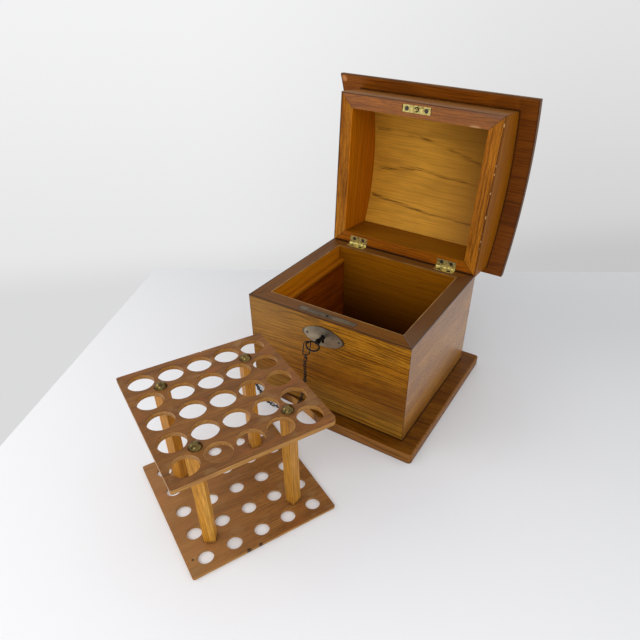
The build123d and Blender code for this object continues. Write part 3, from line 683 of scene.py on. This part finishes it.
beyond_ceiling = x.size().largest(y.size() + (wall_outer_x - wall_outer_y))
beyond_ceiling = beyond_ceiling.rise(ceiling_half_width, ceiling_half_width + 2.0)
arch = top_finish.distance(top_finish.vector(0.0, y, z), (0.0, 0.0, arch_middle)) - arch_radius
underside = 1.0 - arch.rise(0.4, 1.2)
top_finish.cover(underside, top_finish.mix(beyond_ceiling, ceiling, overhang))
from_side_edge = ((x - top_middle_x).size() - top_half_width).size()
top_finish.cover((1.0 - from_side_edge.rise(0.4, 2.0)) * 0.7, top_side_edge_tone)
from_front_edge = (y - top_front).size()
top_finish.cover((1.0 - from_front_edge.rise(0.4, 2.2)) * 0.7, top_front_edge_tone)
from_chip = top_finish.distance(top_finish.vector(x, y, z * 0.3), chip_place)
below_top_face = 1.0 - arch.rise(3.0, 5.0)
top_finish.cover((1.0 - from_chip.rise(2.0, 5.0)) * below_top_face * 0.85, chip_tone)
varnish(top_finish)
dress("lid_top_board", top_finish)


# Hinges and strike plate
# Two small brass butts, let into both rims and held by dark steel screws. The brass strike plate
# sits in the lid's front rim, with a turned groove round its stud.

brass_bright = rgb(226, 208, 128)
brass_dull = rgb(112, 92, 44)
strike_dull = rgb(150, 126, 66)
groove_dark = rgb(40, 30, 16)


def metal(name, bright, dull, roughness, seed, spot_size, metallic=1.0):
    """Metal that has dulled in patches of that many millimetres."""
    finish = Finish(name)
    x, y, z = finish.axes(finish.place)
    shifted = finish.vector(x + 13.0 * seed, y, z)
    patch = finish.noise(shifted, 1 / spot_size, detail=4.0, roughness=0.65)
    dulled = patch.rise(0.38, 0.68)
    finish.colour = finish.mix(dulled, bright, dull)
    finish.set(base_color=finish.colour, metallic=metallic, roughness=dulled * 0.2 + roughness)
    finish.bump(patch, 0.03)
    return finish


brass = metal("bright_brass_finish", brass_bright, brass_dull, 0.26, 1.0, 2.0, 0.75)
for side in ("left", "right"):
    dress(f"{side}_hinge_body_leaf", brass)
    dress(f"{side}_hinge_lid_leaf", brass)

screw_steel = metal("dark_screw_steel", rgb(96, 88, 80), rgb(48, 42, 38), 0.4, 2.0, 1.0)
for name in ("hinge_pins", "body_hinge_screws", "lid_hinge_screws", "strike_screws", "base_screws"):
    dress(name, screw_steel)

strike_brass = metal("strike_brass_finish", brass_bright, strike_dull, 0.26, 7.0, 4.0, 0.75)
x, y, z = strike_brass.axes(strike_brass.place)
strike_low, strike_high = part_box("strike_plate")
stud = ((strike_low[0] + strike_high[0]) * 500, 0.0, (strike_low[2] + strike_high[2]) * 500)
from_stud = strike_brass.distance(strike_brass.vector(x, 0.0, z), stud)
groove = from_stud.rise(1.3, 1.8) * (1.0 - from_stud.rise(2.6, 3.2))
strike_brass.cover(groove, groove_dark)
strike_brass.set(base_color=strike_brass.colour)
dress("strike_plate", strike_brass)


# Lock
# A steel mortise lock, let into the front rim with its scratched selvedge plate flush. A worn
# nickel escutcheon is pinned round the keyhole on the front.

plate_height_share = 0.949
nickel_painted_light = rgb(200, 190, 162)
nickel_shade = rgb(92, 84, 74)
nickel_rim_painted_shade = rgb(52, 46, 38)
scratch_tone = rgb(48, 38, 28)
plate_gap_painted_shade = rgb(34, 26, 20)

nickel = metal("worn_nickel", rgb(170, 158, 136), rgb(122, 112, 96), 0.34, 3.0, 9.0)
x, y, z = nickel.axes(nickel.place)
plate_low, plate_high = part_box("escutcheon")
across = (x - (plate_low[0] + plate_high[0]) * 500) / ((plate_high[0] - plate_low[0]) * 500)
upward = (z - (plate_low[2] + plate_high[2]) * 500) / ((plate_high[2] - plate_low[2]) * 500)
share_of_plate = nickel.vector(across, upward * plate_height_share, 0.0)
from_middle = nickel.distance(share_of_plate, (0.0, 0.0, 0.0))
# Painted light and shade: the escutcheon is darker towards its top, lighter on its left, and dark
# round its edge.
nickel.cover(upward.rise(-0.3, 0.9) * 0.5, nickel_shade)
nickel.cover((1.0 - across.rise(-0.7, 0.3)) * 0.3, nickel_painted_light)
nickel.cover(from_middle.rise(0.86, 0.98) * 0.8, nickel_rim_painted_shade)
nickel.set(base_color=nickel.colour)
dress("escutcheon", nickel)
dress("escutcheon_pins", screw_steel)

lock_steel = metal("lock_steel", rgb(112, 96, 74), rgb(84, 70, 52), 0.45, 4.0, 12.0, 0.6)
x, y, z = lock_steel.axes(lock_steel.place)
lock_low, lock_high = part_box("lock_selvedge")
from_end = (x - lock_low[0] * 1000).smallest(lock_high[0] * 1000 - x)
from_side = (y - lock_low[1] * 1000).smallest(lock_high[1] * 1000 - y)
scratches = lock_steel.noise(lock_steel.vector(x / 14.0, y / 0.5, 0.0), detail=3.0)
lock_steel.cover(scratches.rise(0.5, 0.65) * 0.5, scratch_tone)
# Painted shade round the plate's edges, for the gap between it and the wood.
lock_steel.cover(1.0 - from_end.smallest(from_side).rise(0.2, 1.0), plate_gap_painted_shade)
lock_steel.set(base_color=lock_steel.colour)
for name in ("lock_selvedge", "lock_case", "lock_bolt"):
    dress(name, lock_steel)


# Key and chain
# A small pipe key of dark iron with a ring bow, on a chain of welded links. The link on the key
# and the hanging chain are drawn as copies of their meshes, and the rest of the chain lies still.

key_iron = metal("key_iron_finish", rgb(52, 48, 50), rgb(20, 18, 18), 0.22, 5.0, 1.5)
dress("key", key_iron)
dress("key_chain_lying", key_iron)
for name in ("key_link", "key_chain_hanging"):
    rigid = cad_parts[name]
    links = bpy.data.objects.new(f"{name}_bent", rigid.data.copy())
    bpy.context.collection.objects.link(links)
    links.matrix_world = rigid.matrix_world.copy()
    links.data.materials.clear()
    links.data.materials.append(key_iron.material)
    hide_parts(name)
    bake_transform(links)


# Rack
# Two drilled boards on four square posts, with a domed brass nail through the upper board into
# each post and a screw from below. Painted shade darkens the lower board and the posts round the
# posts' feet. The boards' cut edges and holes are lighter than their faces.

rack_turn = radians(63.3)
rack_place = Vector((-0.019, -0.2293, 0.0))
rack_own = ((0, 0, -rack_turn), Matrix.Rotation(-rack_turn, 3, "Z") @ -rack_place)
rack_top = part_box("rack_upper_plate")[1][2] * 1000
rack_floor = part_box("rack_lower_plate")[1][2] * 1000
dark_spots = ((-19.5, -74.0, 2.2), (-8.0, -74.0, 1.8), (-66.0, -56.0, 1.2), (20.0, -20.0, 0.8))
upper_tones = (rgb(147, 95, 39), rgb(129, 80, 30), rgb(90, 50, 15))
lower_tones = (rgb(162, 108, 50), rgb(144, 92, 39), rgb(100, 60, 22))
red_stain_tone = rgb(146, 82, 34)
grey_stain_tone = rgb(150, 118, 74)
rack_near_painted_light_tone = rgb(196, 146, 92)
cut_tones = (rgb(196, 146, 76), rgb(150, 100, 44))
dark_spot_tone = rgb(40, 22, 12)
post_foot_painted_shade = rgb(60, 32, 10)
post_dark = rgb(160, 100, 24)
# Each post has its own tones as painted light and shade: the near post lightest and the right post
# darkest, as it stands in shadow.
post_painted_light_tones = {
    "near": (rgb(246, 184, 80), rgb(228, 158, 50), post_dark),
    "right": (rgb(218, 156, 60), rgb(198, 132, 36), post_dark),
    "far": (rgb(240, 172, 70), rgb(220, 148, 42), post_dark),
    "left": (rgb(234, 166, 64), rgb(214, 142, 38), post_dark),
}


def rack_board(name, tones, seed, top_of_board, near_light_share=0.0):
    """A rack board's wood, with painted light of that share towards its near end."""
    finish = wood(name, "x", tones, seed, streaks=0.12, rings=0.05, turned=rack_own)
    x, y, z = finish.xyz
    speckle = finish.noise(finish.vector(x / 1.6, y / 1.6, z / 1.6), detail=3.0, roughness=0.7)
    finish.cover(speckle.rise(0.5, 0.7) * 0.3, tones[2])
    stain = finish.noise(finish.vector(x / 26.0 + seed, y / 20.0, z / 30.0), detail=3.0)
    finish.cover(stain.rise(0.54, 0.68) * 0.35, red_stain_tone)
    # Painted light on the near end, out of the upper board's shadow.
    if near_light_share:
        finish.cover((1.0 - x.rise(-60.0, 20.0)) * near_light_share, rack_near_painted_light_tone)
    finish.cover((1.0 - stain.rise(0.32, 0.44)) * 0.3, grey_stain_tone)
    cut = 1.0 - z.rise(top_of_board - 0.7, top_of_board - 0.25)
    finish.cover(cut * 0.85, finish.mix(finish.fibre.rise(0.3, 0.7), *cut_tones))
    return finish


upper_finish = rack_board("rack_upper_wood", upper_tones, 12.0, rack_top)
varnish(upper_finish, 0.5, 0.04, 0.2)
dress("rack_upper_plate", upper_finish)
soften("rack_upper_plate", 0.3, 1)

lower_finish = rack_board("rack_lower_wood", lower_tones, 13.0, rack_floor, near_light_share=0.25)
x, y, z = lower_finish.xyz
for spot_x, spot_y, radius in dark_spots:
    from_spot = lower_finish.distance(lower_finish.vector(x, y, 0.0), (spot_x, spot_y, 0.0))
    lower_finish.cover((1.0 - from_spot.rise(radius * 0.6, radius * 1.3)) * 0.85, dark_spot_tone)
# Painted shade on the lower board round each post's foot, broken up by noise.
foot_speckle = lower_finish.noise(lower_finish.vector(x / 1.3, y / 1.3, z), detail=1.0).rise(0.5, 0.6)
for name in post_painted_light_tones:
    low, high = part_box(f"rack_post_{name}")
    foot = ((low[0] + high[0]) / 2, (low[1] + high[1]) / 2, rack_floor / 1000)
    from_foot = lower_finish.distance(lower_finish.place, foot) * 1000.0
    lower_finish.cover((1.0 - from_foot.rise(6.5, 9.5)) * foot_speckle * 0.8, post_foot_painted_shade)
varnish(lower_finish, 0.5, 0.04, 0.2)
dress("rack_lower_plate", lower_finish)
soften("rack_lower_plate", 0.3, 1)

for name, tones in post_painted_light_tones.items():
    post = f"rack_post_{name}"
    post_finish = wood(f"{post}_wood", "z", tones, 14.0, wander=0.8, streaks=0.3, rings=0.12)
    x, y, z = post_finish.xyz
    # Painted shade at the post's foot.
    at_foot = 1.0 - z.rise(rack_floor + 0.5, rack_floor + 3.0)
    post_finish.cover(at_foot * post_finish.blotch.rise(0.35, 0.5) * 0.6, post_foot_painted_shade)
    varnish(post_finish, 0.5, 0.06, 0.25)
    dress(post, post_finish)
    soften(post, 0.5)

dome_brass = metal("antique_brass_finish", rgb(124, 104, 60), rgb(58, 50, 30), 0.1, 6.0, 3.0)
dress("rack_dome_nails", dome_brass)
dress("rack_foot_screws", screw_steel)
